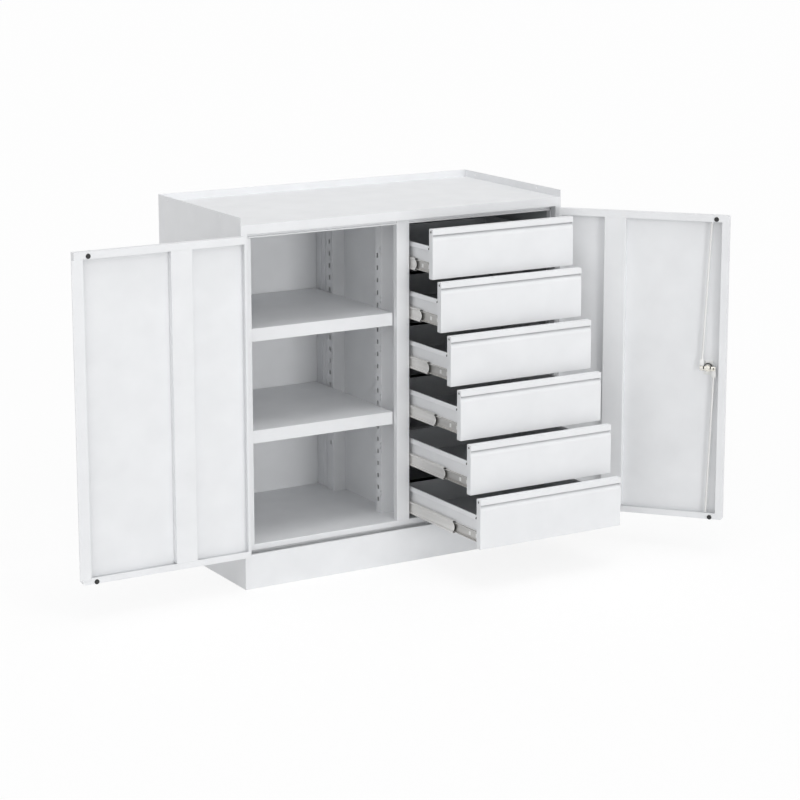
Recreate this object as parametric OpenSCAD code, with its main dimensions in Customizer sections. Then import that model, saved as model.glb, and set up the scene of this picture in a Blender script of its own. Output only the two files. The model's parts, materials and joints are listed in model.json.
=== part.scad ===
// Double-door tool cabinet with shelves on the left and six drawers on the right.
// Laid out from the left front bottom corner, then centred on the base.
// Shown with the doors swung open and the drawers pulled out in steps.

/* [Cabinet body] */
// outer width
body_w = 1000; // [760:10:1400]
// outer depth
body_d = 500; // [420:10:700]
// outer height with the worktop rim
body_h = 1000; // [800:10:1400]
// sheet thickness
sheet = 1.5; // [1:0.1:2.5]
// height of the rim round the worktop
rim_h = 20; // [10:1:40]
// height of the plinth
plinth_h = 94; // [60:1:160]
// height of the band under the worktop edge
fascia_h = 24.5; // [18:0.5:60]
// width of the front flange of each side
corner_w = 18; // [12:1:40]
// clearance between the closed doors and the inner frame
frame_gap = 3; // [2.2:0.1:10]
// width of the centre post
post_w = 39.5; // [30:0.5:80]
// how much wider the right stile is than a door is thick
stile_clear = 2.5; // [1:0.5:30]

/* [Shelves] */
// slot that carries the upper shelf, counted from the top
shelf_slot_1 = 5; // [1:1:8]
// slot that carries the lower shelf, counted from the top
shelf_slot_2 = 13; // [10:1:16]
// front drop of a shelf
shelf_lip = 35; // [20:1:60]
// spacing of the shelf slots
slot_pitch = 34.5; // [25:0.5:50]

/* [Drawers] */
// gap between drawer fronts
front_gap = 2; // [1:0.1:6]
// depth of the tray shaped front
front_t = 18.5; // [14:0.5:30]
// height of the folded lip over the grip
lip_h = 15; // [10:0.5:20]
// height of the whole grip recess
grip_h = 32; // [28:0.5:50]
// free depth behind a closed drawer box
box_clear = 29.5; // [10:0.5:60]
// height of a drawer box
box_h = 72.5; // [50:0.5:120]
// how far the rolled top of a drawer side stands out
hem_out = 7; // [3:0.5:8]

/* [Doors] */
// door thickness
door_t = 18.5; // [14:0.5:26]
// gap between the closed doors
door_gap = 5; // [3:0.5:8]
// distance from the cabinet side to the pivot
pivot_x = 11; // [8:0.5:20]
// distance of the pivot in front of the body
pivot_y = 3.4; // [3.4:0.2:6]
// opening of the left door
left_open = 180; // [0:1:180]
// opening of the right door
right_open = 131; // [105:1:180]

/* [Hidden] */
$fn = 40;
white = [0.86, 0.87, 0.88];
zinc = [0.70, 0.70, 0.68];
black = [0.06, 0.06, 0.06];
half_w = body_w / 2;
half_d = body_d / 2;
// heights
top_z = body_h - rim_h;
under_z = top_z - sheet;
fascia_z = top_z - fascia_h;
rail_z = fascia_z - 14.5;
floor_z = plinth_h + 20.5;
// inner frame
door_y = 0.5;
frame_y = door_y + door_t + frame_gap;
frame_t = 17;
back_y = body_d - corner_w;
post_l = body_w / 2 - post_w / 2;
post_r = body_w / 2 + post_w / 2;
stile_l = post_w;
stile_r = body_w - door_t - stile_clear;
bay_mid = (stile_l + post_l) / 2;
// drawers, k counts from the top one
ft = 1.2;
slide_t = 13;
front_l = post_r + 2.65;
front_r = stile_r - 2.6;
front_y = frame_y + 2;
pitch = (rail_z - floor_z - front_gap) / 6;
front_h = pitch - front_gap;
box_len = back_y - front_y - front_t - box_clear;
box_rise = 13.4;
grip_r = 15;
grip_d = 12;
grip_turn = 54;
box_l = post_r + slide_t;
box_r = stile_r - slide_t;
box_mid = (post_r + stile_r) / 2;
slide_rise = box_rise + 15;
slide_y = 46;
slide_len = back_y - slide_y - 26;
pull = box_len / 410 * [118.5, 161.8, 211.5, 262.1, 312.3, 361];
mid_pull = box_len / 410 * [53.4, 80.2, 118.5, 153.8, 202.7, 250.9];
// slotted uprights and shelves
post_y = 106;
prop_y = back_y - 102;
slot_top = top_z - 138;
slots = floor((slot_top - floor_z - 30) / slot_pitch);
slot_ys = [post_y + 20.6, prop_y + 17];
shelf_l = stile_l + 2;
shelf_r = post_l - 2;
shelf_rear = back_y - 2;
clip_rows = [shelf_z(shelf_slot_1), shelf_z(shelf_slot_2)];
// doors, hinges, lock and rods
door_edge = corner_w + 2;
door_len = half_w - door_edge - door_gap / 2;
door_z = plinth_h + 2;
door_h = fascia_z - 1.5 - door_z;
leaf_t = 1.2;
barrel_r = 3;
pin_r = 1.3;
hinge_z = [door_z + 70, door_z + door_h / 2, door_z + door_h - 70];
lock_s = door_len - 51;
lock_z = door_z + door_h / 2;
pin_arm = 17;
cam_y = 14.4;
cam_t = 2.2;
rod_s = door_len - 48.8;
rod_r = 3;
rod_y = 11;
foot_y = 12;
up_tip = door_z + door_h - 8;
low_tip = door_z + 8;
keeper_x = body_w - door_edge - rod_s;

left_side_panel();
right_side_panel();
back_panel();
worktop();
floor_panel();
plinth();
base_rail();
centre_partition();
drawer_liner();
centre_post();
front_stiles();
top_rail();
front_uprights();
back_uprights();
upper_shelf();
lower_shelf();
shelf_clips();
hinge_leaves();
hinge_pins();
slide_tracks();
left_door_panel();
left_door_stiffener();
left_door_strip();
left_door_buffers();
left_door_hinges();
right_door_panel();
right_door_stiffener();
right_door_buffers();
right_door_hinges();
lock_case();
lock_cam();
lock_handle();
upper_rod();
lower_rod();
drawer_1_front();
drawer_1_box();
drawer_1_rails();
slide_1_mid();
drawer_2_front();
drawer_2_box();
drawer_2_rails();
slide_2_mid();
drawer_3_front();
drawer_3_box();
drawer_3_rails();
slide_3_mid();
drawer_4_front();
drawer_4_box();
drawer_4_rails();
slide_4_mid();
drawer_5_front();
drawer_5_box();
drawer_5_rails();
slide_5_mid();
drawer_6_front();
drawer_6_box();
drawer_6_rails();
slide_6_mid();

// ---------- helpers ----------

// block given by its two corners
module bar(x0, x1, y0, y1, z0, z1) {
  translate([x0, y0, z0]) cube([x1 - x0, y1 - y0, z1 - z0]);
}

// everything is laid out from the left front corner and centred here
module place(c = white) {
  color(c) translate([-half_w, -half_d, 0]) children();
}

// height of slot i, counted down from the top
function slot_z(i) = slot_top - i * slot_pitch;

// top of a shelf hung in slot i
function shelf_z(i) = slot_z(i) + 26.5;

// lower edge of the front of drawer k
function front_z(k) = floor_z + front_gap + (5 - k) * pitch;

// opening through the web of an upright, centred on y and z
module slot_cut(y, z, w, h) {
  bar(post_l - 1, post_l + sheet + 1, y - w / 2, y + w / 2, z - h / 2, z + h / 2);
}

// left and right copies about a plane across the width
module both(mid) {
  children();
  translate([2 * mid, 0, 0]) mirror([1, 0, 0]) children();
}

// ---------- cabinet body ----------

module side_sheet() {
  difference() {
    union() {
      bar(0, sheet, sheet, body_d, 0, body_h);
      bar(0, sheet, 0, sheet, plinth_h, fascia_z);
      bar(sheet, corner_w, 0, sheet, plinth_h, fascia_z);
      bar(corner_w - sheet, corner_w, sheet, frame_y - 0.5, plinth_h, fascia_z);
      bar(sheet, corner_w, body_d - sheet, body_d, 0, top_z - 20);
      bar(sheet, 25, 30, body_d - 30, 0, sheet);
    }
    for (y = [121, body_d - 57])
      translate([-1, y, top_z + 11]) rotate([0, 90, 0]) cylinder(h = sheet + 2, r = 2.5);
  }
}

module left_side_panel() {
  place() side_sheet();
}

module right_side_panel() {
  place() translate([body_w, 0, 0]) mirror([1, 0, 0]) side_sheet();
}

module back_panel() {
  place() {
    bar(sheet, body_w - sheet, back_y, back_y + sheet, floor_z - sheet, under_z);
    both(half_w) bar(sheet, 2 * sheet, back_y + sheet, body_d - sheet, floor_z, under_z);
  }
}

module worktop() {
  place() {
    bar(sheet, body_w - sheet, sheet, body_d - sheet, under_z, top_z);
    bar(0, body_w, 0, sheet, fascia_z, top_z);
    difference() {
      bar(sheet, body_w - sheet, sheet, 15, fascia_z, fascia_z + sheet);
      bar(keeper_x - 5, keeper_x + 5, 7, 14, fascia_z - 1, fascia_z + sheet + 1);
    }
    bar(sheet, body_w - sheet, body_d - sheet, body_d, top_z - 20, body_h);
  }
}

module floor_panel() {
  place() {
    bar(sheet, body_w - sheet, frame_y - 0.5, back_y, floor_z - sheet, floor_z);
    bar(sheet, body_w - sheet, frame_y - 0.5, frame_y - 0.5 + sheet, floor_z - 16, floor_z - sheet);
    bar(sheet, body_w - sheet, frame_y - 0.5 + sheet, frame_y + 9, floor_z - 16, floor_z - 16 + sheet);
  }
}

module plinth() {
  place() {
    bar(0, body_w, 0, sheet, 0, plinth_h);
    bar(sheet, body_w - sheet, sheet, 6, plinth_h - sheet, plinth_h);
    bar(sheet, body_w - sheet, sheet, 26, 0, sheet);
    bar(sheet, body_w - sheet, back_y - 4, back_y - 4 + sheet, 0, floor_z - sheet);
    bar(26, body_w - 26, back_y - 29, back_y - 4, 0, sheet);
    bar(sheet, body_w - sheet, frame_y + 9, frame_y + 9 + sheet, sheet, floor_z - sheet);
    for (x = [half_w - 120, half_w + 120])
      bar(x, x + sheet, frame_y + 9 + sheet, back_y - 4, 0, floor_z - sheet);
  }
}

module base_rail() {
  place() {
    bar(half_w - 20, half_w + 20, 26, back_y - 29, 0, sheet);
    both(half_w)
      bar(half_w - 20, half_w - 20 + sheet, frame_y + 9 + sheet, back_y - 29, sheet, floor_z - sheet);
  }
}

module centre_partition() {
  place() {
    bar(post_r - sheet, post_r, frame_y + frame_t, back_y, floor_z, under_z);
    bar(post_r - 22, post_r - sheet, back_y - sheet, back_y, floor_z, under_z);
  }
}

module drawer_liner() {
  place() {
    bar(stile_r, stile_r + sheet, frame_y + frame_t, back_y, floor_z, under_z);
    bar(stile_r + sheet, body_w - sheet, back_y - sheet, back_y, floor_z, under_z);
  }
}

module centre_post() {
  place() difference() {
    bar(post_l, post_r, frame_y, frame_y + frame_t, floor_z, rail_z + 14);
    bar(post_l + sheet, post_r - sheet, frame_y + sheet, frame_y + frame_t + 1, floor_z - 1, rail_z + 15);
  }
}

module front_stiles() {
  place() {
    difference() {
      bar(sheet, stile_l, frame_y, frame_y + frame_t, floor_z, rail_z);
      bar(0, stile_l - sheet, frame_y + sheet, frame_y + frame_t + 1, floor_z - 1, rail_z + 1);
    }
    difference() {
      bar(stile_r, body_w - sheet, frame_y, frame_y + frame_t, floor_z, rail_z);
      bar(stile_r + sheet, body_w, frame_y + sheet, frame_y + frame_t + 1, floor_z - 1, rail_z + 1);
    }
  }
}

module rail_run(x0, x1) {
  bar(x0, x1, frame_y, frame_y + frame_t, rail_z, rail_z + sheet);
  bar(x0, x1, frame_y, frame_y + sheet, rail_z + sheet, rail_z + 4.5);
  bar(x0, x1, frame_y + sheet, frame_y + 3 + sheet, rail_z + 4.5 - sheet, rail_z + 4.5);
  bar(x0, x1, frame_y + 3, frame_y + 3 + sheet, rail_z + 4.5, under_z);
}

module top_rail() {
  place() {
    rail_run(sheet, post_l);
    rail_run(post_r, body_w - sheet);
    bar(post_l, post_r, frame_y + 3, frame_y + 3 + sheet, rail_z + 14, under_z);
    bar(post_l, post_r, frame_y, frame_y + 3, rail_z + 14, rail_z + 14 + sheet);
  }
}

// ---------- slotted uprights and shelves ----------

module front_upright() {
  difference() {
    union() {
      bar(post_l, post_l + sheet, post_y, post_y + 31, floor_z, under_z);
      bar(post_l + sheet, post_r - sheet, post_y, post_y + sheet, floor_z, under_z);
      bar(post_l + sheet, post_r - sheet, post_y + 31 - sheet, post_y + 31, floor_z, under_z);
    }
    for (i = [0:slots]) slot_cut(slot_ys[0], slot_z(i), 8, 12);
    for (k = [0:5], s = [-6.5, 6.5]) slot_cut(post_y + 6, front_z(k) + 54.4 + s, 4, 6);
  }
}

module back_upright() {
  difference() {
    union() {
      bar(post_l, post_l + sheet, prop_y, prop_y + 33, floor_z, under_z);
      bar(post_l + sheet, post_r - sheet, prop_y, prop_y + sheet, floor_z, under_z);
      bar(post_l + sheet, post_l + 3.5 + sheet, prop_y + 33 - sheet, prop_y + 33, floor_z, under_z);
      bar(post_l + 3.5, post_l + 3.5 + sheet, prop_y + 33, back_y, floor_z, under_z);
      for (y = [prop_y + 46, prop_y + 68])
        bar(post_l + 1.5, post_l + 3.5, y, y + 7, floor_z + 6, under_z - 6);
    }
    for (i = [0:max(slots - 3, shelf_slot_2)]) slot_cut(slot_ys[1], slot_z(i), 8, 12);
  }
}

module front_uprights() {
  place() both(bay_mid) front_upright();
}

module back_uprights() {
  place() both(bay_mid) back_upright();
}

// shelf pan with a deep front lip and shallow side and rear flanges
module shelf(z) {
  bar(shelf_l, shelf_r, 42, shelf_rear, z - sheet, z);
  bar(shelf_l, shelf_r, 42, 42 + sheet, z - shelf_lip, z - sheet);
  bar(shelf_l, shelf_r, 42 + sheet, 58, z - shelf_lip, z - shelf_lip + sheet);
  bar(shelf_l, shelf_l + sheet, 58, shelf_rear, z - 20, z - sheet);
  bar(shelf_r - sheet, shelf_r, 58, shelf_rear, z - 20, z - sheet);
  bar(shelf_l + sheet, shelf_r - sheet, shelf_rear - sheet, shelf_rear, z - 20, z - sheet);
}

module upper_shelf() {
  place() shelf(clip_rows[0]);
}

module lower_shelf() {
  place() shelf(clip_rows[1]);
}

module clip(y, z) {
  bar(post_l - 14, post_l, y - 7, y + 7, z - 21.5, z - 20);
  bar(post_l - 1.2, post_l, y - 7, y + 7, z - 40, z - 21.5);
  bar(post_l, post_l + 4, y - 3, y + 3, z - 31, z - 22.5);
}

module shelf_clips() {
  place(zinc) both(bay_mid) for (z = clip_rows, y = slot_ys) clip(y, z);
}

// ---------- door hinges ----------

module hinge_leaves() {
  place() both(half_w) for (z = hinge_z) {
    bar(2.5, pivot_x - 3.5, -leaf_t, 0, z - 30, z + 30);
    for (s = [-30, 10.3]) bar(pivot_x - 3.5, pivot_x + 2, -leaf_t, 0, z + s, z + s + 19.7);
    for (s = [-30, 10.3])
      translate([pivot_x, -pivot_y, z + s]) difference() {
        union() {
          cylinder(h = 19.7, r = barrel_r);
          translate([-barrel_r, 0, 0]) cube([barrel_r, pivot_y - leaf_t, 19.7]);
        }
        translate([0, 0, -1]) cylinder(h = 22, r = pin_r);
      }
  }
}

module hinge_pins() {
  place(zinc) both(half_w) for (z = hinge_z) {
    translate([pivot_x, -pivot_y, z - 31.5]) cylinder(h = 63, r = pin_r);
    for (s = [-31.5, 30]) translate([pivot_x, -pivot_y, z + s]) cylinder(h = 1.5, r = 2.3);
  }
}

// ---------- doors, drawn closed with the hinge edge at s = 0 ----------

// carries the left door from closed to open about its pivot
module left_swing() {
  translate([pivot_x, -pivot_y, 0]) rotate([0, 0, -left_open])
    translate([door_edge - pivot_x, pivot_y + door_y, 0]) children();
}

// carries the right door, drawn as a mirror of the left
module right_swing() {
  translate([body_w - pivot_x, -pivot_y, 0]) rotate([0, 0, right_open])
    translate([pivot_x - door_edge, pivot_y + door_y, 0]) mirror([1, 0, 0]) children();
}

module door_pan() {
  z0 = door_z;
  z1 = door_z + door_h;
  bar(0, door_len, 0, sheet, z0, z1);
  bar(0, sheet, sheet, door_t, z0, z1);
  bar(door_len - sheet, door_len, sheet, door_t, z0, z1);
  bar(sheet, door_len - sheet, sheet, door_t, z0, z0 + sheet);
  bar(sheet, door_len - sheet, sheet, door_t, z1 - sheet, z1);
  bar(sheet, 5, door_t - sheet, door_t, z0 + sheet, z1 - sheet);
  bar(door_len - 20, door_len - sheet, door_t - sheet, door_t, z0 + sheet, z1 - sheet);
  bar(5, door_len - 20, door_t - sheet, door_t, z0 + sheet, z0 + 17);
  bar(5, door_len - 20, door_t - sheet, door_t, z1 - 19, z1 - sheet);
}

// bevelled lower corner at the free edge
module corner_cut(c) {
  translate([0, door_t + 1, 0]) rotate([90, 0, 0]) linear_extrude(door_t + 2)
    polygon([[door_len - c, door_z - 1], [door_len + 1, door_z - 1], [door_len + 1, door_z + c]]);
}

module hat(s0) {
  z0 = door_z + 17;
  z1 = door_z + door_h - 19;
  bar(s0, s0 + 60, door_t - sheet, door_t, z0, z1);
  bar(s0, s0 + sheet, sheet, door_t - sheet, z0, z1);
  bar(s0 + 60 - sheet, s0 + 60, sheet, door_t - sheet, z0, z1);
}

module buffer(s, z) {
  translate([s, door_t + 1.7, z]) rotate([90, 0, 0]) cylinder(h = 1.7, r = 6.5);
  translate([s, door_t, z]) rotate([90, 0, 0]) cylinder(h = 4, r = 2);
}

module buffer_holes(s) {
  for (z = [door_z + 5.5, door_z + door_h - 11.5])
    translate([s, door_t + 1, z]) rotate([90, 0, 0]) cylinder(h = 4, r = 2);
}

module door_knuckles() {
  for (z = hinge_z) {
    bar(1, 20, -leaf_t, 0, z - 30, z + 30);
    difference() {
      union() {
        translate([pivot_x - door_edge, -pivot_y - door_y, z - 10]) cylinder(h = 20, r = barrel_r);
        bar(pivot_x - door_edge, 6, -2 * leaf_t - 0.2, -leaf_t, z - 10, z + 10);
      }
      translate([pivot_x - door_edge, -pivot_y - door_y, z - 11]) cylinder(h = 22, r = pin_r + 0.2);
    }
  }
}

module left_door_panel() {
  place() left_swing() difference() {
    door_pan();
    buffer_holes(door_len - 38.4);
    corner_cut(8);
    bar(door_len - 52, door_len - 43, 4, 7, door_z + door_h - 2, door_z + door_h + 1);
  }
}

module left_door_stiffener() {
  place() left_swing() hat(153.6);
}

module left_door_strip() {
  place() left_swing()
    bar(door_len - 24, door_len + 7, door_t, door_t + 1.2, door_z + 12.5, door_z + door_h - 19.5);
}

module left_door_buffers() {
  place(black) left_swing() for (z = [door_z + 5.5, door_z + door_h - 11.5]) buffer(door_len - 38.4, z);
}

module left_door_hinges() {
  place() left_swing() door_knuckles();
}

module right_door_panel() {
  place() right_swing() difference() {
    door_pan();
    buffer_holes(door_len - 35.5);
    corner_cut(5);
    translate([lock_s, -1, lock_z]) rotate([-90, 0, 0]) cylinder(h = 4, r = 9.2);
    for (z = [door_z - 1, door_z + door_h - 2]) translate([rod_s, 11, z]) cylinder(h = 3, r = 3.75);
  }
}

module right_door_stiffener() {
  place() right_swing() hat(129);
}

module right_door_buffers() {
  place(black) right_swing() for (z = [door_z + 5.5, door_z + door_h - 11.5]) buffer(door_len - 35.5, z);
}

module right_door_hinges() {
  place() right_swing() door_knuckles();
}

// ---------- lock and bolt rods ----------

module lock_case() {
  place(zinc) right_swing() difference() {
    union() {
      translate([lock_s - 13, sheet, lock_z - 20]) cube([26, 2, 40]);
      translate([lock_s, sheet, lock_z]) rotate([-90, 0, 0]) cylinder(h = 8, r = 11);
      translate([lock_s, -2.5, lock_z]) rotate([-90, 0, 0]) cylinder(h = 2.5, r = 15);
    }
    translate([lock_s, -4, lock_z]) rotate([-90, 0, 0]) cylinder(h = 20, r = 9.2);
  }
}

module lock_cam() {
  place([0.8, 0.79, 0.72]) right_swing() {
    translate([lock_s, -3, lock_z]) rotate([-90, 0, 0]) cylinder(h = cam_y + 3, r = 9);
    difference() {
      translate([lock_s - pin_arm - 5, cam_y, lock_z - 6]) cube([2 * pin_arm + 10, cam_t, 12]);
      translate([lock_s - pin_arm - 6, cam_y - 1, lock_z - 1]) cube([2, 6, 2]);
    }
    translate([lock_s, cam_y + cam_t, lock_z]) rotate([-90, 0, 0]) cylinder(h = 1.6, r = 5);
    for (s = [-pin_arm, pin_arm])
      translate([lock_s + s, cam_y + cam_t, lock_z]) rotate([-90, 0, 0]) cylinder(h = 1.2, r = 3);
  }
}

module lock_handle() {
  place(zinc) right_swing() difference() {
    union() {
      translate([lock_s, -9, lock_z]) rotate([-90, 0, 0]) cylinder(h = 6, r = 11);
      translate([lock_s, -20, lock_z]) rotate([-90, 0, 0]) cylinder(h = 11, r = 8);
      translate([lock_s - 30, -20, lock_z - 5]) cube([60, 9, 10]);
      for (s = [-30, 30]) translate([lock_s + s, -20, lock_z]) rotate([-90, 0, 0]) cylinder(h = 9, r = 5);
    }
    translate([lock_s, -21, lock_z]) rotate([-90, 0, 0]) cylinder(h = 4, r = 3.5);
  }
}

// straight rod between two points of the door plane
module rod(s0, z0, s1, z1) {
  len = sqrt((s1 - s0) * (s1 - s0) + (z1 - z0) * (z1 - z0));
  translate([s0, rod_y, z0]) rotate([0, atan2(s1 - s0, z1 - z0), 0]) cylinder(h = len, r = rod_r);
}

module upper_rod() {
  place(zinc) right_swing() {
    rod(lock_s - pin_arm, lock_z + 9, rod_s, up_tip);
    translate([lock_s - pin_arm - 4, foot_y, lock_z - 4]) cube([8, 2, 15]);
  }
}

module lower_rod() {
  place(zinc) right_swing() {
    rod(lock_s + pin_arm, lock_z - 9, rod_s, low_tip);
    translate([lock_s + pin_arm - 4, foot_y, lock_z - 11]) cube([8, 2, 15]);
  }
}

// ---------- drawer slides ----------

// channel open towards +x, centred on z = 0
module channel(x0, x1, h, y0, len, t) {
  bar(x0, x0 + t, y0, y0 + len, -h / 2, h / 2);
  bar(x0 + t, x1, y0, y0 + len, -h / 2, -h / 2 + t);
  bar(x0 + t, x1, y0, y0 + len, h / 2 - t, h / 2);
}

module slide_tracks() {
  place(zinc) both(box_mid) for (k = [0:5])
    translate([0, 0, front_z(k) + slide_rise])
      channel(post_r, post_r + 11.6, 45.7, slide_y, slide_len, 1.4);
}

// the middle member on each side of drawer k
module mid_pair(k) {
  place(zinc) both(box_mid)
    translate([0, -mid_pull[k], front_z(k) + slide_rise]) {
      channel(post_r + 2.4, post_r + 10.4, 36, slide_y, slide_len, 1.4);
      bar(post_r + 2.4, post_r + 10.4, slide_y + slide_len, slide_y + slide_len + 1.4, -18, 18);
    }
}

module slide_1_mid() {
  mid_pair(0);
}

module slide_2_mid() {
  mid_pair(1);
}

module slide_3_mid() {
  mid_pair(2);
}

module slide_4_mid() {
  mid_pair(3);
}

module slide_5_mid() {
  mid_pair(4);
}

module slide_6_mid() {
  mid_pair(5);
}

module rail_pair(k) {
  place(zinc) both(box_mid)
    translate([0, -pull[k], front_z(k) + slide_rise]) {
      difference() {
        bar(box_l - 1.5, box_l, slide_y, slide_y + slide_len - 6, -13.2, 13.2);
        for (y = [slide_y + 6, slide_y + 40, slide_y + slide_len / 2, slide_y + slide_len - 70])
          bar(box_l - 2, box_l + 1, y, y + 7, -5.5, 5.5);
      }
      bar(box_l - 7.5, box_l - 1.5, slide_y, slide_y + slide_len - 6, -13.2, -11.7);
      bar(box_l - 7.5, box_l - 1.5, slide_y, slide_y + slide_len - 6, 11.7, 13.2);
    }
}

module drawer_1_rails() {
  rail_pair(0);
}

module drawer_2_rails() {
  rail_pair(1);
}

module drawer_3_rails() {
  rail_pair(2);
}

module drawer_4_rails() {
  rail_pair(3);
}

module drawer_5_rails() {
  rail_pair(4);
}

module drawer_6_rails() {
  rail_pair(5);
}

// ---------- drawers ----------

// thin skins of the front: face, lip, bottom return, top, ends, inner wall and rolled grip
module front_shape() {
  w0 = front_l;
  w1 = front_r;
  bar(w0, w1, 0, ft, 0, front_h - grip_h);
  bar(w0, w1, 0, ft, front_h - lip_h, front_h);
  bar(w0, w1, ft, 5, front_h - lip_h, front_h - lip_h + ft);
  bar(w0, w1, ft, front_t, front_h - ft, front_h);
  bar(w0, w1, ft, front_t, 0, ft);
  bar(w0, w0 + ft, ft, front_t, ft, front_h - ft);
  bar(w1 - ft, w1, ft, front_t, ft, front_h - ft);
  bar(w0 + ft, w1 - ft, front_t - ft, front_t, ft, 14);
  bar(w0 + ft, w1 - ft, grip_d, grip_d + ft, front_h - lip_h - 1, front_h - ft);
  translate([w0 + ft, 0, 0]) rotate([90, 0, 90]) linear_extrude(w1 - w0 - 2 * ft) polygon(concat(
    [for (a = [0:6:grip_turn]) grip_point(grip_r, a)],
    [[grip_d, grip_wall_z(grip_r)], [grip_d + ft, grip_wall_z(grip_r - ft) + ft / tan(grip_turn)]],
    [for (a = [grip_turn:-6:0]) grip_point(grip_r - ft, a)]));
}

// point of the rolled edge at the foot of the grip, a degrees up from the face
function grip_point(r, a) = [grip_r - r * cos(a), front_h - grip_h + r * sin(a)];

// height at which the slope behind the rolled edge reaches the wall of the grip
function grip_wall_z(r) = grip_point(r, grip_turn)[1] + (grip_d - grip_point(r, grip_turn)[0]) / tan(grip_turn);

module front_part(k) {
  place() translate([0, front_y - pull[k], front_z(k)]) difference() {
    front_shape();
    for (x = [front_l - 1, front_r - ft - 1])
      translate([x, 10, front_h - 8]) rotate([0, 90, 0]) cylinder(h = ft + 2, r = 3.2);
  }
}

module box_part(k) {
  y0 = front_t;
  place() translate([0, front_y - pull[k], front_z(k) + box_rise]) {
    bar(box_l, box_r, y0, y0 + box_len, 0, ft);
    bar(box_l + ft, box_r - ft, y0, y0 + ft, ft, box_h);
    bar(box_l + ft, box_r - ft, y0 + box_len - ft, y0 + box_len, ft, box_h - 8);
    both(box_mid) {
      difference() {
        bar(box_l, box_l + ft, y0, y0 + box_len, ft, box_h);
        translate([box_l - 1, y0 + 12, box_h - 6]) rotate([0, 90, 0]) cylinder(h = 4, r = 2);
      }
      bar(box_l - hem_out, box_l, y0, y0 + box_len, box_h - ft, box_h);
      difference() {
        bar(box_l - hem_out, box_l - hem_out + ft, y0, y0 + box_len, box_h - 11, box_h - ft);
        translate([box_l - hem_out - 1, y0 + 12, box_h - 6]) rotate([0, 90, 0]) cylinder(h = 4, r = 2);
      }
    }
  }
}

module drawer_1_front() {
  front_part(0);
}

module drawer_1_box() {
  box_part(0);
}

module drawer_2_front() {
  front_part(1);
}

module drawer_2_box() {
  box_part(1);
}

module drawer_3_front() {
  front_part(2);
}

module drawer_3_box() {
  box_part(2);
}

module drawer_4_front() {
  front_part(3);
}

module drawer_4_box() {
  box_part(3);
}

module drawer_5_front() {
  front_part(4);
}

module drawer_5_box() {
  box_part(4);
}

module drawer_6_front() {
  front_part(5);
}

module drawer_6_box() {
  box_part(5);
}
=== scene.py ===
import json
import math
import bmesh
import bpy
from mathutils import Matrix, Vector


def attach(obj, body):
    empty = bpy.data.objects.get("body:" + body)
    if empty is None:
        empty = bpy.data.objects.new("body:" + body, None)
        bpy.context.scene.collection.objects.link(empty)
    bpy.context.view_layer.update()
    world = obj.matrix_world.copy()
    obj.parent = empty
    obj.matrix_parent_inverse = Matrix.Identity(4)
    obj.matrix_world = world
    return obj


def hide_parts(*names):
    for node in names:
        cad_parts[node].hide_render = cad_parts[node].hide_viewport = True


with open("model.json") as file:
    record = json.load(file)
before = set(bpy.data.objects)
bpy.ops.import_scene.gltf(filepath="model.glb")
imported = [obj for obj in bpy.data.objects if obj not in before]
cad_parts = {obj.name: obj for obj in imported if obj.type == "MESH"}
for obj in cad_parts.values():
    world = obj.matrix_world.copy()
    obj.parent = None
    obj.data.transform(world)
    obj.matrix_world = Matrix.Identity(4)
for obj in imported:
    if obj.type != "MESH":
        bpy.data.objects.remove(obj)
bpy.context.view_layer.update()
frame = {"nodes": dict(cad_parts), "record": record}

MM = 0.001
FLOOR_GLOW = 0.78
FOCAL_PIXELS, PICTURE_PIXELS = 2361.5, 800
WORLD_LIGHT = 0.44

# ---------------------------------------------------------------- finishes


def new_finish(name, colour, metallic=0.0, roughness=0.5):
    """Empty principled material with its shader and output, ready for more nodes."""
    finish = bpy.data.materials.new(name)
    finish.use_nodes = True
    shader = finish.node_tree.nodes["Principled BSDF"]
    shader.inputs["Base Color"].default_value = (*colour, 1)
    shader.inputs["Metallic"].default_value = metallic
    shader.inputs["Roughness"].default_value = roughness
    return finish, finish.node_tree, shader


def grain(tree, size_mm, detail=2.0, stretch=(1, 1, 1)):
    """Noise on object coordinates whose grains are about size_mm across."""
    place = tree.nodes.new("ShaderNodeTexCoord")
    scale = tree.nodes.new("ShaderNodeMapping")
    scale.inputs["Scale"].default_value = [s / (size_mm * MM) for s in stretch]
    noise = tree.nodes.new("ShaderNodeTexNoise")
    noise.inputs["Scale"].default_value = 1.0
    noise.inputs["Detail"].default_value = detail
    tree.links.new(place.outputs["Object"], scale.inputs["Vector"])
    tree.links.new(scale.outputs["Vector"], noise.inputs["Vector"])
    return noise.outputs["Fac"]


def spread(tree, value, low, high, from_low=0.3, from_high=0.7):
    """Carries a noise value to the range low to high."""
    node = tree.nodes.new("ShaderNodeMapRange")
    node.inputs["From Min"].default_value = from_low
    node.inputs["From Max"].default_value = from_high
    node.inputs["To Min"].default_value = low
    node.inputs["To Max"].default_value = high
    tree.links.new(value, node.inputs["Value"])
    return node.outputs["Result"]


def tint(tree, value, low, high):
    """Colour between two near shades, steered by a noise value."""
    node = tree.nodes.new("ShaderNodeMix")
    node.data_type = "RGBA"
    node.inputs["A"].default_value = (*low, 1)
    node.inputs["B"].default_value = (*high, 1)
    tree.links.new(value, node.inputs["Factor"])
    return node.outputs["Result"]


def relief(tree, shader, value, height_mm, strength=1.0):
    """Raises the surface by a noise value."""
    node = tree.nodes.new("ShaderNodeBump")
    node.inputs["Strength"].default_value = strength
    node.inputs["Distance"].default_value = height_mm * MM
    tree.links.new(value, node.inputs["Height"])
    tree.links.new(node.outputs["Normal"], shader.inputs["Normal"])


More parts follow.
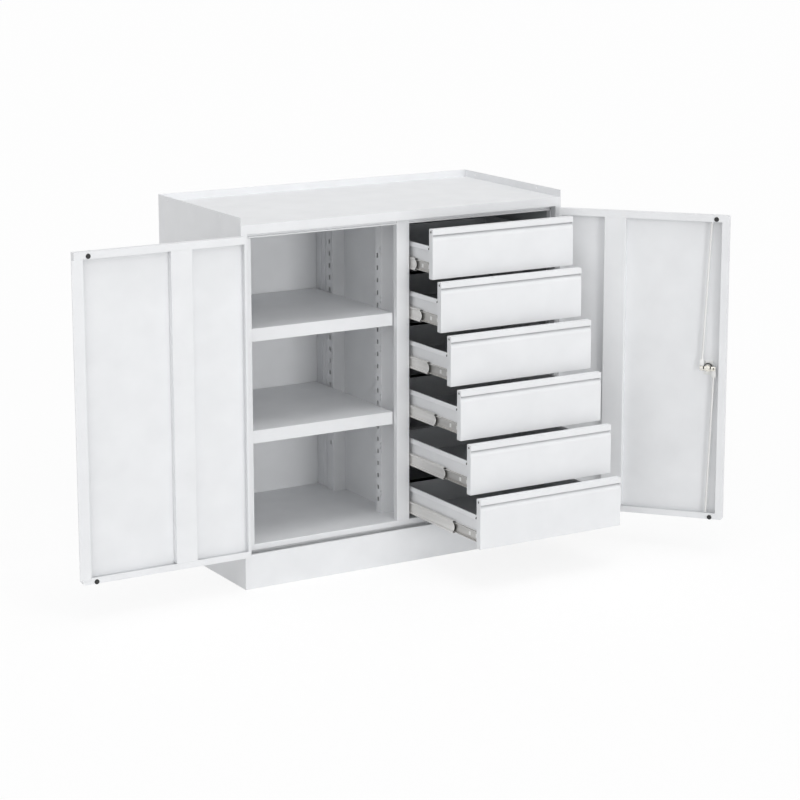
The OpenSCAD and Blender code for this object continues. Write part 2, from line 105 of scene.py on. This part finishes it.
def powder_coat(name, low, high, rough_low, rough_high):
    """Fine satin powder coat: faint mottling, orange peel and a soft sheen."""
    finish, tree, shader = new_finish(name, high, roughness=rough_high)
    cloud = spread(tree, grain(tree, 90, 3), 0, 1)
    tree.links.new(tint(tree, cloud, low, high), shader.inputs["Base Color"])
    peel = grain(tree, 1.6, 2)
    tree.links.new(spread(tree, peel, rough_low, rough_high), shader.inputs["Roughness"])
    relief(tree, shader, peel, 0.03, 0.35)
    return finish


def plated(name, low, high, rough_low, rough_high, stretch, size_mm=14, metallic=1.0):
    """Plated or brushed metal with fine drawn streaks."""
    finish, tree, shader = new_finish(name, high, metallic=metallic)
    streak = grain(tree, size_mm, 4, stretch)
    tree.links.new(tint(tree, spread(tree, streak, 0, 1), low, high), shader.inputs["Base Color"])
    tree.links.new(spread(tree, streak, rough_low, rough_high), shader.inputs["Roughness"])
    relief(tree, shader, grain(tree, 0.9, 1, stretch), 0.01, 0.3)
    return finish


def rubber(name):
    """Matte black rubber with a dusty bloom."""
    finish, tree, shader = new_finish(name, (0.02, 0.02, 0.02), roughness=0.7)
    dust = grain(tree, 1.2, 3)
    tree.links.new(tint(tree, spread(tree, dust, 0, 1), (0.012, 0.012, 0.013), (0.035, 0.035, 0.035)),
                   shader.inputs["Base Color"])
    tree.links.new(spread(tree, dust, 0.55, 0.8), shader.inputs["Roughness"])
    relief(tree, shader, dust, 0.04, 0.5)
    return finish


coat = powder_coat("cabinet_powder_coat", (0.82, 0.83, 0.845), (0.86, 0.87, 0.885), 0.40, 0.52)
rail_zinc = plated("rail_zinc", (0.56, 0.55, 0.53), (0.69, 0.68, 0.66), 0.34, 0.5, (1, 0.04, 1), metallic=0.6)
nylon = powder_coat("slide_nylon", (0.86, 0.86, 0.85), (0.90, 0.90, 0.89), 0.4, 0.5)
zinc = plated("slide_zinc", (0.74, 0.73, 0.71), (0.86, 0.85, 0.83), 0.30, 0.46, (1, 0.04, 1), metallic=0.55)
steel = plated("rod_steel", (0.62, 0.62, 0.61), (0.76, 0.76, 0.75), 0.20, 0.34, (1, 1, 0.05), 6)
nickel = plated("lock_nickel", (0.66, 0.64, 0.58), (0.82, 0.80, 0.74), 0.18, 0.32, (1, 1, 1), 5)
black = rubber("buffer_rubber")
rod_zinc = plated("rod_pale_zinc", (0.74, 0.74, 0.73), (0.86, 0.86, 0.85), 0.34, 0.46, (1, 1, 0.05), 6, 0.3)
# black plastic for the ball cages; on the slide's front bumper it is also painted shade of the gap there
cage_black_and_gap_shade = rubber("ball_cage_plastic_and_gap_shade")
# blackened steel for the lock's guard and a rivet; the same dark finish is painted shade in the drawers' holes
# and in the gaps of the lock's cam
blackened_and_painted_shade = plated("blackened_steel_and_painted_shade", (0.03, 0.03, 0.03), (0.06, 0.058, 0.055), 0.4, 0.55, (1, 1, 1), 4, 0.6)
# painted shade: the cabinet's light paint darkened to stand in for the shade inside the drawer bay and the
# drawers
painted_shade_coat = powder_coat("compartment_painted_shade", (0.51, 0.525, 0.54), (0.56, 0.575, 0.59), 0.45, 0.6)
finish_of = {"light_paint": coat, "zinc_steel": zinc, "bright_steel": rod_zinc, "lock_metal": nickel,
             "buffer_rubber": black}

# ---------------------------------------------------------------- frame helpers

body_of = {node: body for body, nodes in frame["record"]["behaviour"]["bodies"].items() for node in nodes}
slot_of = {part["node"]: part["material_slot"] for part in frame["record"]["subparts"]}


def only(obj):
    """Makes obj the one selected and active object."""
    bpy.ops.object.select_all(action="DESELECT")
    obj.select_set(True)
    bpy.context.view_layer.objects.active = obj


def face_width(face):
    """Width of a strip shaped face, for telling a sheet's rim from its faces."""
    rim = sum((face.verts[i].co - face.verts[i - 1].co).length for i in range(len(face.verts)))
    return 2 * face.calc_area() / rim


def weigh_edges(obj, bend, rim, rolled=None):
    """Gives outer bends the full bevel weight, and sheet rims and inner bends a smaller one. Where rolled is
    given, only the outer bends that it names get the full weight, and their inner sides follow them."""
    shape = bmesh.new()
    shape.from_mesh(obj.data)
    layer = shape.edges.layers.float.get("bevel_weight_edge") or \
        shape.edges.layers.float.new("bevel_weight_edge")
    for edge in shape.edges:
        edge[layer] = 0.0
        if len(edge.link_faces) != 2 or edge.calc_face_angle(0) < math.radians(28):
            continue
        a, b = edge.link_faces
        sheet_face = min(face_width(a), face_width(b)) > 2.2 * MM
        edge[layer] = 1.0 if sheet_face and edge.is_convex else rim / bend
        if rolled and edge[layer] == 1.0 and not rolled((edge.verts[0].co + edge.verts[1].co) / 2):
            edge[layer] = 1.2 / bend
        elif rolled and not edge.is_convex and rolled((edge.verts[0].co + edge.verts[1].co) / 2):
            edge[layer] = (bend - DRAWER_SHEET) / bend
    shape.to_mesh(obj.data)
    shape.free()


def lean_hems(obj, rolled):
    """Leans the outer walls of a drawer's hems inwards towards their tops."""
    top = max(vert.co.z for vert in obj.data.vertices)
    for vert in obj.data.vertices:
        if rolled(vert.co):
            rise = vert.co.z - (top - HEM_DROP * MM)
            vert.co.x += (1 if vert.co.x < at(BOX_MID, 0, 0).x else -1) * HEM_LEAN / HEM_DROP * rise


def folded(node, bend=1.4, rim=0.45, segments=3, split=None, slotted=False, rolled=None):
    """Stands for a CAD node with the same sheet, its bends and rims rounded, and its faces split at a distance
    across the cabinet where the painted shade of the drawer bay ends. A slotted sheet keeps all its faces.
    Rolled tells the places where a drawer's hem is rolled."""
    source = frame["nodes"][node]
    mesh = source.data.copy()
    mesh.name = node + "_folded"
    obj = bpy.data.objects.new(node + "_folded", mesh)
    bpy.context.scene.collection.objects.link(obj)
    only(obj)
    bpy.ops.object.mode_set(mode="EDIT")
    bpy.ops.mesh.select_all(action="SELECT")
    bpy.ops.mesh.remove_doubles(threshold=1e-5)
    if not slotted:
        bpy.ops.mesh.dissolve_limited(angle_limit=math.radians(0.8))
    if split is not None:
        bpy.ops.mesh.select_all(action="SELECT")
        bpy.ops.mesh.bisect(plane_co=at(split, 0, 0), plane_no=(1, 0, 0))
    bpy.ops.object.mode_set(mode="OBJECT")
    if rolled:
        lean_hems(obj, rolled)
    weigh_edges(obj, bend, rim, rolled)
    bevel = obj.modifiers.new("bends", "BEVEL")
    bevel.limit_method = "WEIGHT"
    bevel.width = bend * MM
    bevel.segments = segments
    bevel.use_clamp_overlap = rolled is None
    bevel.miter_outer = "MITER_ARC"
    bpy.ops.object.modifier_apply(modifier="bends")
    bpy.ops.object.shade_smooth_by_angle(angle=math.radians(32))
    even = obj.modifiers.new("even", "WEIGHTED_NORMAL")
    even.keep_sharp = True
    bpy.ops.object.modifier_apply(modifier="even")
    obj.data.materials.clear()
    obj.data.materials.append(finish_of[slot_of[node]])
    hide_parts(node)
    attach(obj, body_of[node])
    return obj


# ---------------------------------------------------------------- places

# layout in millimetres from the left front bottom corner, as the cabinet is drawn
POST_R, STILE_R = 519.75, 979.0
BOX_L, BOX_MID = 532.75, (519.75 + 979.0) / 2
FLOOR_Z, UNDER_Z = 114.5, 978.5
FRONT_GAP = 2.0
PITCH = (941 - FLOOR_Z - FRONT_GAP) / 6
PULL = (118.5, 161.8, 211.5, 262.1, 312.3, 361.0)
MID_PULL = (53.4, 80.2, 118.5, 153.8, 202.7, 250.9)
DOOR_LEN, DOOR_T, DOOR_Z, DOOR_H = 477.5, 18.5, 96.0, 858.0
LOCK_S, LOCK_Z, PIN_ARM = 426.5, 525.0, 17.0
SLIDE_Y, SLIDE_LEN, SLIDE_RISE = 46, 410, 28.4
DRAWER_SHEET, HEM_DROP, HEM_LEAN = 1.2, 11, 4
HEM_HOLE_Z, GRIP_HOLE_Z = 79.9, 127.4
BACK_Y = 483.4
MID_X, MID_Y = 500, 250
PIVOT_X, PIVOT_Y, LEAF_OUT, LEAF_BACK = 11, 3.4, 9, 3.9
LEFT_TURN, RIGHT_TURN = -180, 131


def at(x, y, z):
    """Scene place of a point of the cabinet's layout."""
    return Vector(((x - MID_X) * MM, (y - MID_Y) * MM, z * MM))


def front_z(k):
    """Lower edge of the front of drawer k, counted from 1 at the top."""
    return FLOOR_Z + FRONT_GAP + (6 - k) * PITCH


def door_matrix(pivot, side, turn):
    """Carries metres along, through and up a closed door to its open place in the scene."""
    pivot_place = Matrix.Translation(at(pivot, -PIVOT_Y, 0))
    leaf = Matrix.Translation(Vector((side * -LEAF_OUT * MM, LEAF_BACK * MM, 0))) @ \
        Matrix.Scale(-side, 4, Vector((1, 0, 0)))
    return pivot_place @ Matrix.Rotation(math.radians(turn), 4, "Z") @ leaf


LEFT_DOOR = door_matrix(PIVOT_X, -1, LEFT_TURN)
RIGHT_DOOR = door_matrix(2 * MID_X - PIVOT_X, 1, RIGHT_TURN)

# ---------------------------------------------------------------- modelling helpers


def shade_faces_into(obj, low, high, finish):
    """Gives a second finish to the faces that look into a box-shaped space; here the darker coat that paints
    the shade inside the drawer bay and the drawers.
    """
    obj.data.materials.append(finish)
    last = len(obj.data.materials) - 1
    for face in obj.data.polygons:
        seen = face.center + face.normal * 5 * MM
        if all(a < c < b for a, c, b in zip(low, seen, high)):
            face.material_index = last


def in_edit(obj):
    """Opens obj for shaping with nothing selected."""
    only(obj)
    bpy.ops.object.mode_set(mode="EDIT")
    bpy.ops.mesh.select_all(action="DESELECT")
    return bmesh.from_edit_mesh(obj.data)


def pick(shape, obj, test):
    """Selects the faces whose centre and normal pass a test."""
    bpy.ops.mesh.select_mode(type="FACE")
    for face in shape.faces:
        face.select_set(test(face.calc_center_median(), face.normal))
    bmesh.update_edit_mesh(obj.data)


def rounded(obj, width_mm, segments=2, angle=30):
    """Rounds the edges of a finished shape and smooths it."""
    only(obj)
    bevel = obj.modifiers.new("round", "BEVEL")
    bevel.width = width_mm * MM
    bevel.segments = segments
    bevel.limit_method = "ANGLE"
    bevel.angle_limit = math.radians(angle)
    bpy.ops.object.modifier_apply(modifier="round")
    bpy.ops.object.shade_smooth_by_angle(angle=math.radians(40))


def settle(obj):
    """Puts the place of a piece into its mesh and turns its faces outwards."""
    only(obj)
    bpy.ops.object.transform_apply(location=True, rotation=True, scale=True)
    bpy.ops.object.mode_set(mode="EDIT")
    bpy.ops.mesh.select_all(action="SELECT")
    bpy.ops.mesh.normals_make_consistent(inside=False)
    bpy.ops.object.mode_set(mode="OBJECT")


def block(name, low, high, finish, edge_mm=0.4):
    """Small machined block between two corners, in metres, with eased edges."""
    bpy.ops.mesh.primitive_cube_add(size=1, location=[(a + b) / 2 for a, b in zip(low, high)])
    obj = bpy.context.object
    obj.name = name
    obj.scale = [b - a for a, b in zip(low, high)]
    settle(obj)
    rounded(obj, edge_mm)
    obj.data.materials.append(finish)
    return obj


def stud(name, place, axis, radius_mm, height_mm, finish, dish_mm=0.0, edge_mm=0.4, sides=28):
    """Round head standing on a surface at place, along axis, its top dished when asked."""
    bpy.ops.mesh.primitive_cylinder_add(vertices=sides, radius=radius_mm * MM, depth=height_mm * MM,
                                        location=(0, 0, height_mm * MM / 2))
    obj = bpy.context.object
    obj.name = name
    settle(obj)
    shape = in_edit(obj)
    pick(shape, obj, lambda c, n: n.z > 0.9)
    bpy.ops.mesh.inset(thickness=radius_mm * 0.42 * MM)
    if dish_mm:
        bpy.ops.transform.translate(value=(0, 0, -dish_mm * MM))
    bpy.ops.object.mode_set(mode="OBJECT")
    rounded(obj, edge_mm)
    obj.data.materials.append(finish)
    obj.data.transform(Matrix.Translation(place) @ axis.to_track_quat("Z", "Y").to_matrix().to_4x4())
    return obj


def joined(name, pieces):
    """Makes one object of several finished pieces."""
    bpy.ops.object.select_all(action="DESELECT")
    for piece in pieces:
        piece.select_set(True)
    bpy.context.view_layer.objects.active = pieces[0]
    if len(pieces) > 1:
        bpy.ops.object.join()
    whole = bpy.context.object
    whole.name = name
    return whole


def twin(obj, matrix, flips=False):
    """A copy with its own mesh, carried by a matrix."""
    copy = obj.copy()
    copy.data = obj.data.copy()
    bpy.context.scene.collection.objects.link(copy)
    copy.data.transform(matrix)
    if flips:
        copy.data.flip_normals()
    return copy


def stands_for(obj, node):
    """Puts a finished piece in a CAD node's place."""
    obj.name = node + "_detailed"
    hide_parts(node)
    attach(obj, body_of[node])


def rides(obj, body):
    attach(obj, body)


def bent_sheet(name, path, start, end, thickness_mm, finish):
    """Sheet bent along a path of x and z, in metres, running from start to end in depth: one edge is extruded
    from point to point, and the sheet is left without thickness."""
    bpy.ops.mesh.primitive_plane_add(size=1)
    obj = bpy.context.object
    obj.name = name
    shape = in_edit(obj)
    shape.verts.ensure_lookup_table()
    corners = [(point, depth) for point in path[:2] for depth in (start, end)]
    for vert, (point, depth) in zip(shape.verts, corners):
        vert.co = (point[0], depth, point[1])
    bmesh.update_edit_mesh(obj.data)
    bpy.ops.mesh.select_mode(type="EDGE")
    for before, after in zip(path[1:], path[2:]):
        shape = bmesh.from_edit_mesh(obj.data)
        for edge in shape.edges:
            edge.select_set(all((v.co.x - before[0]) ** 2 + (v.co.z - before[1]) ** 2 < 1e-12
                                for v in edge.verts))
        bmesh.update_edit_mesh(obj.data)
        bpy.ops.mesh.extrude_edges_move(
            TRANSFORM_OT_translate={"value": (after[0] - before[0], 0, after[1] - before[1])})
    bpy.ops.object.mode_set(mode="OBJECT")
    obj.data.materials.append(finish)
    return obj


def thicken(obj, thickness_mm, offset):
    only(obj)
    wall = obj.modifiers.new("wall", "SOLIDIFY")
    wall.thickness = thickness_mm * MM
    wall.offset = offset
    bpy.ops.object.modifier_apply(modifier="wall")
    settle(obj)


# ---------------------------------------------------------------- folded sheet of the whole cabinet

bpy.ops.object.select_all(action="DESELECT")
for node, cad in frame["nodes"].items():
    cad.data.materials.clear()
    cad.data.materials.append(finish_of[slot_of[node]])


def on_hem(place):
    """Outer top edge of the rolled hem on either side of a drawer."""
    return abs(place.x - at(BOX_MID, 0, 0).x) > (BOX_MID - BOX_L + 5) * MM


DRAWERS = range(1, 7)
bay_low, bay_high = at(POST_R, 30, FLOOR_Z), at(STILE_R, 482, UNDER_Z)
bay_shaded_sheets = {"worktop", "floor_panel", "back_panel", "centre_partition", "drawer_liner"}
inside_of = {room["name"]: room["box_m"] for room in frame["record"]["physics"]["openings"]}
sheets = {}
for node in frame["nodes"]:
    if slot_of[node] == "light_paint":
        split = POST_R if node in ("worktop", "floor_panel", "back_panel") else None
        if "uprights" in node:
            sheets[node] = folded(node, bend=0.5, rim=0.2, segments=2, slotted=True)
        elif node.endswith("_box"):
            sheets[node] = folded(node, bend=3.7, segments=5, rolled=on_hem)
        else:
            sheets[node] = folded(node, split=split)
# painted shade on the faces that look into the drawer bay and into each drawer
for node in bay_shaded_sheets:
    shade_faces_into(sheets[node], bay_low, bay_high, painted_shade_coat)
for k in DRAWERS:
    low, high = inside_of["drawer_%d_inside" % k]
    shade_faces_into(sheets["drawer_%d_box" % k], low, high, painted_shade_coat)
for node in ["slide_tracks", "shelf_clips"] + ["drawer_%d_rails" % k for k in DRAWERS]:
    sheets[node] = folded(node, bend=0.7, rim=0.25, segments=2)
for node in ("lock_case", "lock_handle", "hinge_pins", "upper_rod", "lower_rod"):
    sheets[node] = folded(node, bend=0.6, rim=0.4, segments=2)

# ---------------------------------------------------------------- drawer slides


def slide_member():
    """Middle member of the top drawer's left slide: rolled ball races, a tongue at the front, black ball
    cages with their balls, and a rivet."""
    x0, zc = POST_R + 2.4, front_z(1) + SLIDE_RISE
    front = SLIDE_Y - MID_PULL[0]
    half = [(0, 0), (0, 3.3), (0, 6.5), (0, 9), (0.2, 10.7), (-1.0, 11.7), (-1.9, 12.5), (-2.2, 13.9),
            (-1.9, 15.4), (-1.0, 16.4), (0.4, 16.8), (3.0, 16.8), (4.1, 16.2), (4.6, 14.8)]
    path = [(x0 + 3.3 + x, zc - z) for x, z in reversed(half[1:])] + [(x0 + 3.3 + x, zc + z) for x, z in half]
    scene_path = [((x - MID_X) * MM, z * MM) for x, z in path]
    start, end = at(0, front + 6, 0).y, at(0, front + SLIDE_LEN, 0).y
    member = bent_sheet("slide_member", scene_path, start, end, 1, zinc)
    for vert in member.data.vertices:
        height = abs(vert.co.z - zc * MM) / MM
        if abs(vert.co.y - start) < 1e-6 and height < 11.3:
            vert.co.y -= 6 * MM * (1 - (height / 11.3) ** 2)
    thicken(member, 1, -1)
    rounded(member, 0.3, 1, 50)
    pieces = [member]
    for s in (-1, 1):
        race = zc + s * 14
        pieces.append(block("cage", at(x0 + 2.6, front + 1, race - 1), at(x0 + 7.4, front + 96, race + 1),
                            cage_black_and_gap_shade, 0.3))
        for i in range(4):
            bpy.ops.mesh.primitive_uv_sphere_add(segments=12, ring_count=8, radius=1.7 * MM,
                                                 location=at(x0 + 4.8, front + 8 + 14 * i, race))
            ball = bpy.context.object
            settle(ball)
            bpy.ops.object.shade_smooth()
            ball.data.materials.append(steel)
            pieces.append(ball)
    # the black bumper is partly real black plastic and partly painted shade of the dark gap at the member's
    # front end
    bumper_and_gap_shade_path = [((x0 + 4.6 - MID_X) * MM, (zc + z) * MM) for z in (-11, -7.5, -4, 0, 4, 7.5, 11)]
    bumper_and_gap_shade = bent_sheet("bumper_and_gap_shade", bumper_and_gap_shade_path,
                        at(0, front - 1, 0).y, at(0, front + 16, 0).y, 1.4, cage_black_and_gap_shade)
    for vert in bumper_and_gap_shade.data.vertices:
        height = abs(vert.co.z - zc * MM) / MM
        if vert.co.y < at(0, front, 0).y:
            vert.co.y += 5.5 * MM * (height / 11) ** 2
    thicken(bumper_and_gap_shade, 1.2, 0)
    pieces.append(bumper_and_gap_shade)
    outward = Vector((-1, 0, 0))
    pieces.append(stud("rivet", at(x0 + 2.4, front + 26, zc), outward, 3.4, 0.8, zinc, 0.3, 0.2, 20))
    pieces.append(stud("stop", at(x0 + 2.4, front + 120, zc + 4), outward, 2.2, 0.8, zinc, 0.2, 0.2, 16))
    return joined("slide_member", pieces)


member = slide_member()
across = Matrix.Translation(at(BOX_MID, 0, 0)) @ Matrix.Scale(-1, 4, Vector((1, 0, 0))) @ \
    Matrix.Translation(-at(BOX_MID, 0, 0))
for k in DRAWERS:
    forward, down = MID_PULL[k - 1] - MID_PULL[0], front_z(k) - front_z(1)
    shift = Matrix.Translation(Vector((0, -forward * MM, down * MM)))
    pair = joined("slide", [twin(member, shift), twin(member, shift @ across, flips=True)])
    stands_for(pair, "slide_%d_mid" % k)
bpy.data.objects.remove(member)


def slide_pads(k):
    """Nylon pads over the drawer rail's two front slots."""
    pads = []
    middle = front_z(k) + SLIDE_RISE
    for y in (6, 40):
        depth = SLIDE_Y + y - PULL[k - 1]
        for x in (BOX_L - 1.9, 2 * BOX_MID - BOX_L + 0.3):
            low, high = at(x, depth - 1, middle - 5), at(x + 1.6, depth + 8, middle + 5)
            pads.append(block("pad", low, high, nylon, 0.3))
    return joined("drawer_%d_pads" % k, pads)


def drawer_hole_shades(k):
    """Dark discs set in the holes of the hems and at the ends of a drawer's grip: painted shade that makes the
    holes read dark.
    """
    hole_shades = []
    depth = SLIDE_Y - PULL[k - 1]
    for side in (-1, 1):
        leaning, outward = Vector((side, 0, HEM_LEAN / HEM_DROP)).normalized(), Vector((side, 0, 0))
        hem = BOX_MID + side * (BOX_MID - BOX_L + 4.9)
        end = BOX_MID + side * (BOX_MID - POST_R - 3.2)
        hem_place = at(hem, depth + 6, front_z(k) + HEM_HOLE_Z)
        grip_place = at(end, depth - 12.5, front_z(k) + GRIP_HOLE_Z)
        # dark discs in the holes are painted shade, standing in for the shade inside each hole
        hole_shades.append(stud("hem_hole_shade", hem_place, leaning, 3.2, 0.6, blackened_and_painted_shade, 0.2, 0.1, 20))
        hole_shades.append(stud("grip_hole_shade", grip_place, outward, 3.1, 0.3, blackened_and_painted_shade, 0, 0.1, 20))
    return joined("drawer_%d_eyes" % k, hole_shades)


for k in DRAWERS:
    sheets["drawer_%d_rails" % k].data.materials[0] = rail_zinc
    rides(slide_pads(k), "drawer_%d" % k)
    rides(drawer_hole_shades(k), "drawer_%d" % k)

# ---------------------------------------------------------------- door fittings


def buffer_head(door, s, z):
    """Round rubber buffer with a dished face, a small nub in its middle and a stem behind it."""
    axis = (door.to_3x3() @ Vector((0, 1, 0))).normalized()

    def seat(above):
        return door @ Vector((s * MM, (DOOR_T + above) * MM, z * MM))

    head = stud("buffer", seat(0), axis, 6.5, 1.7, black, 0.5, 0.5, 40)
    nub = stud("nub", seat(0.9), axis, 1.3, 0.5, black, 0, 0.15, 16)
    stem = stud("stem", seat(-2.3), axis, 1.9, 2.6, black, 0, 0.2, 16)
    return joined("buffer", [head, nub, stem])


for door, side, inset in ((LEFT_DOOR, "left", 38.4), (RIGHT_DOOR, "right", 35.5)):
    heads = [buffer_head(door, DOOR_LEN - inset, z) for z in (DOOR_Z + 5.5, DOOR_Z + DOOR_H - 11.5)]
    stands_for(joined("buffers", heads), side + "_door_buffers")

# ---------------------------------------------------------------- lock


def onto_door(obj, door):
    """Carries a piece modelled on the closed door to its open place."""
    only(obj)
    obj.data.transform(door)
    if door.determinant() < 0:
        obj.data.flip_normals()
    return obj


def lock_block(name, s0, s1, y0, y1, z0, z1, finish, edge_mm=0.5):
    return block(name, Vector(((LOCK_S + s0) * MM, y0 * MM, (LOCK_Z + z0) * MM)),
                 Vector(((LOCK_S + s1) * MM, y1 * MM, (LOCK_Z + z1) * MM)), finish, edge_mm)


def lock_stud(name, s, y, z, radius, height, finish, dish=0.0, edge=0.3):
    place = Vector(((LOCK_S + s) * MM, y * MM, (LOCK_Z + z) * MM))
    return stud(name, place, Vector((0, 1, 0)), radius, height, finish, dish, edge)


def lock_carrier():
    """Cam on the lock's spindle: three pale blocks with gaps between them, rivets and hub, on a dark base plate
    that is painted shade in the gaps."""
    # the dark base plate is painted shade for the gaps between the jaws
    pieces = [lock_block("plate", -22, 22, 14.4, 15.4, -6, 6, blackened_and_painted_shade),
              lock_block("left_jaw", -22, -12.5, 15.2, 17.6, -6, 5.5, nickel),
              lock_block("middle_jaw", -9.5, 6.5, 15.2, 17.4, -5.5, 6, nickel),
              lock_block("right_jaw", 9.5, 22, 15.2, 17.8, -6, 6, nickel),
              lock_block("bridge", -14, 11, 15.2, 16.2, -5.2, -2.2, nickel, 0.3),
              lock_stud("rivet_left", -PIN_ARM, 17.5, 0, 2.4, 0.6, steel, 0.2),
              lock_stud("rivet_right", PIN_ARM, 17.7, 0.6, 2.2, 0.5, blackened_and_painted_shade, 0.2),
              lock_stud("screw", -1.5, 17.3, 0.2, 4.2, 0.9, nickel, 0.4),
              lock_stud("spindle", 0, -3, 0, 9, 17.5, nickel, 0, 0.4)]
    return onto_door(joined("lock_carrier", pieces), RIGHT_DOOR)


def lock_guard():
    """Blackened arc over the cam that keeps its jaws from fouling the upper rod."""
    radius, middle = 11.5, LOCK_Z + 1.5
    turns = [math.radians(a) for a in range(20, 161, 10)]
    arc = [((LOCK_S + radius * math.cos(turn)) * MM, (middle + radius * math.sin(turn)) * MM) for turn in turns]
    guard = bent_sheet("lock_guard", arc, 3.6 * MM, 14 * MM, 1.4, blackened_and_painted_shade)
    thicken(guard, 1.4, 0)
    rounded(guard, 0.25, 1, 50)
    return onto_door(guard, RIGHT_DOOR)


def clevis(name, side):
    """Flat end of a bolt rod, pinned to the cam."""
    low, high = (-5, 25) if side > 0 else (-25, 5)
    eye = -side * PIN_ARM
    plate = lock_block(name, eye - 6, eye + 6, 11.9, 14.1, low, high, rod_zinc, 0.8)
    collar = lock_block(name + "_collar", eye - 4.2, eye + 4.2, 8.4, 12.2, high - 8 if side > 0 else low,
                        high if side > 0 else low + 8, rod_zinc, 1.2)
    return onto_door(joined(name, [plate, collar]), RIGHT_DOOR)


stands_for(lock_carrier(), "lock_cam")
rides(lock_guard(), "right_door")
rides(clevis("upper_clevis", 1), "upper_rod")
rides(clevis("lower_clevis", -1), "lower_rod")


def back_rivets():
    """Rivet heads on the back panel, behind the return flanges of the sides and the worktop, where they do
    not show from behind."""
    spots = [(x, z) for x in (14, 986) for z in range(160, 961, 160)]
    spots += [(x, 964) for x in range(140, 900, 180)]
    heads = [stud("rivet", at(x, BACK_Y, z), Vector((0, 1, 0)), 4.2, 1.3, coat, 0.5, 0.5, 20)
             for x, z in spots]
    return joined("back_rivets", heads)


rides(back_rivets(), "cabinet")

# ---------------------------------------------------------------- room, light and camera


def studio_floor():
    """Pale floor: it reads white to the camera and in reflections, and keeps a faint shadow of the object."""
    bpy.ops.mesh.primitive_plane_add(size=60, location=(0, 0, -0.0005))
    floor = bpy.context.object
    floor.name = "studio_floor"
    finish, tree, shader = new_finish("floor_white", (0.85, 0.85, 0.85), roughness=1.0)
    shader.inputs["Specular IOR Level"].default_value = 0
    glow = tree.nodes.new("ShaderNodeEmission")
    glow.inputs["Color"].default_value = (1, 1, 1, 1)
    glow.inputs["Strength"].default_value = 1.06
    mix = tree.nodes.new("ShaderNodeMixShader")
    share = tree.nodes.new("ShaderNodeMath")
    share.operation = "MULTIPLY"
    share.inputs[1].default_value = FLOOR_GLOW
    tree.links.new(seen_rays(tree), share.inputs[0])
    tree.links.new(share.outputs["Value"], mix.inputs["Fac"])
    tree.links.new(shader.outputs["BSDF"], mix.inputs[1])
    tree.links.new(glow.outputs["Emission"], mix.inputs[2])
    tree.links.new(mix.outputs["Shader"], tree.nodes["Material Output"].inputs["Surface"])
    floor.data.materials.append(finish)


def seen_rays(tree):
    """1 for what the camera sees straight, in a mirror or through glass, else 0."""
    ray = tree.nodes.new("ShaderNodeLightPath")
    first, second = tree.nodes.new("ShaderNodeMath"), tree.nodes.new("ShaderNodeMath")
    first.operation = second.operation = "MAXIMUM"
    tree.links.new(ray.outputs["Is Camera Ray"], first.inputs[0])
    tree.links.new(ray.outputs["Is Glossy Ray"], first.inputs[1])
    tree.links.new(first.outputs["Value"], second.inputs[0])
    tree.links.new(ray.outputs["Is Transmission Ray"], second.inputs[1])
    return second.outputs["Value"]


def studio_world():
    """Even white surroundings: softer as a light than as a background."""
    world = bpy.data.worlds.new("studio")
    bpy.context.scene.world = world
    world.use_nodes = True
    tree = world.node_tree
    light = tree.nodes["Background"]
    light.inputs["Color"].default_value = (1, 1, 1, 1)
    light.inputs["Strength"].default_value = WORLD_LIGHT
    seen = tree.nodes.new("ShaderNodeBackground")
    seen.inputs["Color"].default_value = (1, 1, 1, 1)
    mix = tree.nodes.new("ShaderNodeMixShader")
    tree.links.new(seen_rays(tree), mix.inputs["Fac"])
    tree.links.new(light.outputs["Background"], mix.inputs[1])
    tree.links.new(seen.outputs["Background"], mix.inputs[2])
    tree.links.new(mix.outputs["Shader"], tree.nodes["World Output"].inputs["Surface"])


def soft_sun(name, azimuth, elevation, strength, spread_deg):
    """Broad even light from one side: azimuth 0 is from the front, negative from the left."""
    bpy.ops.object.light_add(type="SUN", location=(0, 0, 4))
    lamp = bpy.context.object
    lamp.name = name
    lamp.data.energy = strength
    lamp.data.angle = math.radians(spread_deg)
    lamp.rotation_euler = (math.radians(90 - elevation), 0, math.radians(azimuth))


def photo_camera():
    """Camera fitted to the casing's corners, pitched a little, with the rest of the rise as lens shift."""
    data = bpy.data.cameras.new("camera")
    camera = bpy.data.objects.new("camera", data)
    bpy.context.scene.collection.objects.link(camera)
    data.sensor_width = 36
    data.lens = FOCAL_PIXELS * data.sensor_width / PICTURE_PIXELS
    data.shift_x = -0.0163
    data.shift_y = -0.1
    data.clip_end = 100
    yaw, pitch = 0.5414, 0.1964
    camera.location = (-3.2206, -5.6359, 1.9295)
    camera.rotation_euler = (math.pi / 2 - pitch, 0, -yaw)
    bpy.context.scene.camera = camera


studio_floor()
studio_world()
soft_sun("front", 5, 4, 0.82, 16)
soft_sun("high", 16, 42, 0.22, 22)
soft_sun("left", -62, 12, 0.68, 80)
soft_sun("top", 0, 80, 0.92, 40)
photo_camera()
bpy.context.scene.view_settings.view_transform = "Standard"
